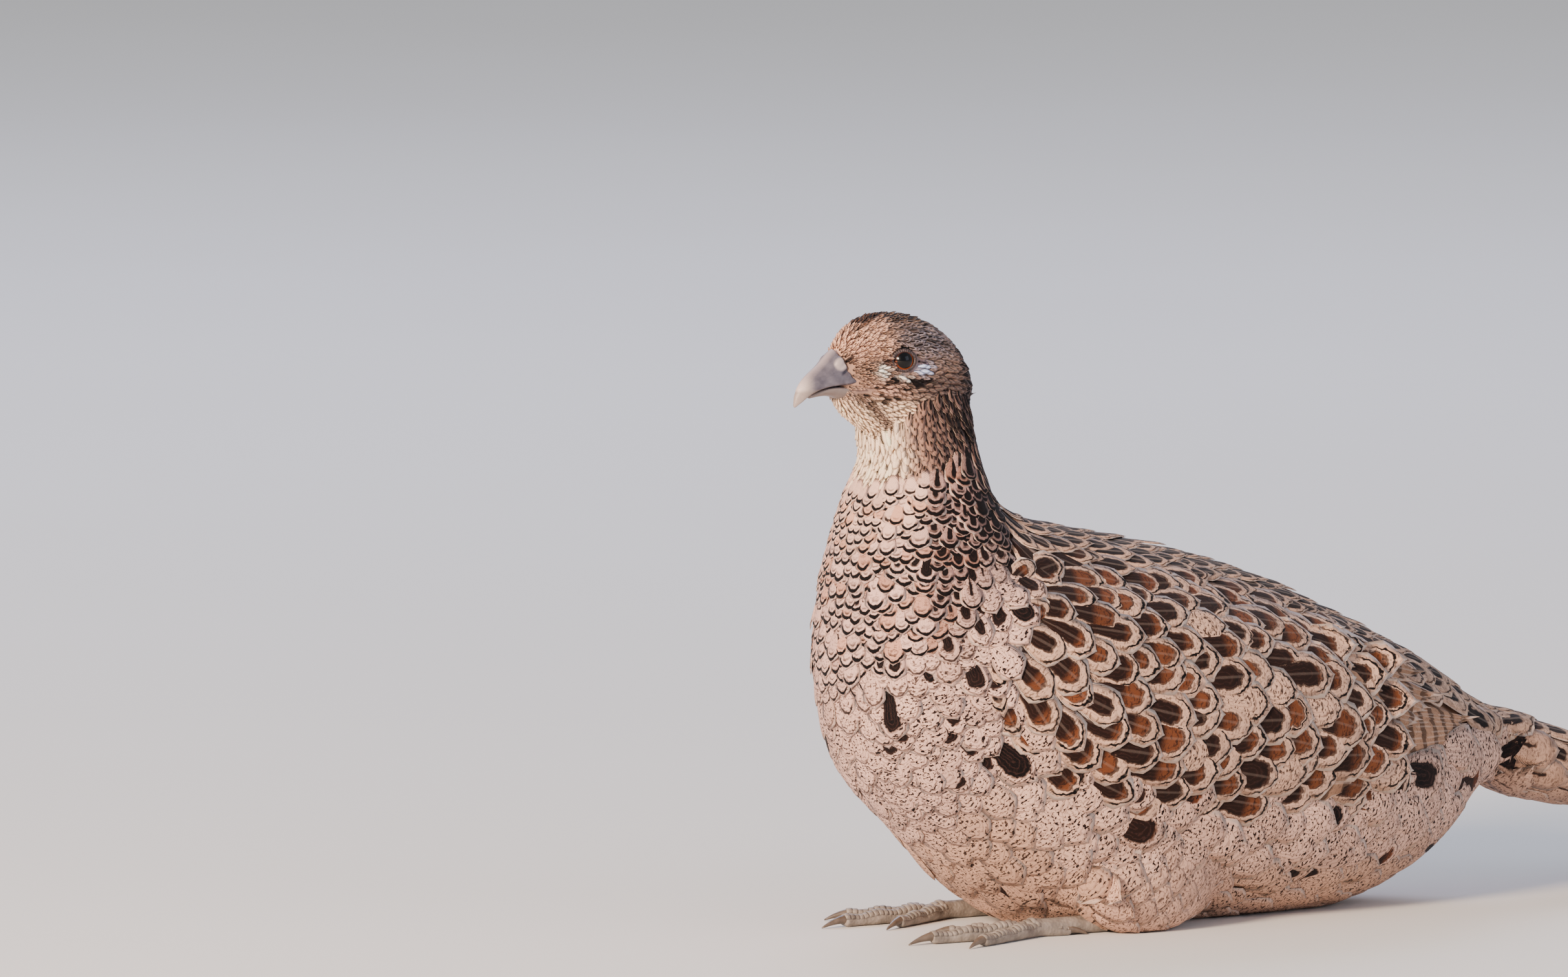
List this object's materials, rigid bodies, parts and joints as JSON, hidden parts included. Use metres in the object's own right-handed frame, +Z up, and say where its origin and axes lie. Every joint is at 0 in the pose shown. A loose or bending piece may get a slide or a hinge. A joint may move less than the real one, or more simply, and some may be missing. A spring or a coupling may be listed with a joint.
{
  "type": "hen common pheasant model",
  "caption": "Life-size still model of a hen common pheasant crouched on its belly, breast raised, head turned slightly to its left, tail trailing.",
  "frame": {"origin": "on the floor, in the middle of the flat on which the belly lies", "axes": "-X the way the bird faces, +X towards the tail's tip, -Y its left side, +Z up"},
  "size_m": [0.5044, 0.1236, 0.2104],
  "materials": {
    "body_plumage": "pinkish-buff contour feathers with black and chestnut crescents, matte",
    "face_feathers": "short buff and dark brown face feathers, matte, with bare lids",
    "horn_bill": "blue-grey horn, paler towards the tip, satin",
    "eye_surface": "orange-brown iris with a large black pupil under a wet clear surface",
    "wing_feathers": "chestnut and black centred feathers with buff fringes, matte",
    "tail_feathers": "buff-brown feathers barred with black and chestnut, matte",
    "leg_skin": "grey-brown scaled skin, satin"
  },
  "bodies": {
    "root": {"torso": "body_plumage", "neck": "body_plumage", "head": "face_feathers", "bill_upper": "horn_bill", "bill_lower": "horn_bill", "eye_left": "eye_surface", "eye_right": "eye_surface", "wing_left": "wing_feathers", "wing_right": "wing_feathers", "tail": "tail_feathers", "leg_left": "body_plumage", "leg_right": "body_plumage", "foot_left": "leg_skin", "foot_right": "leg_skin"}
  },
  "joints": []
}
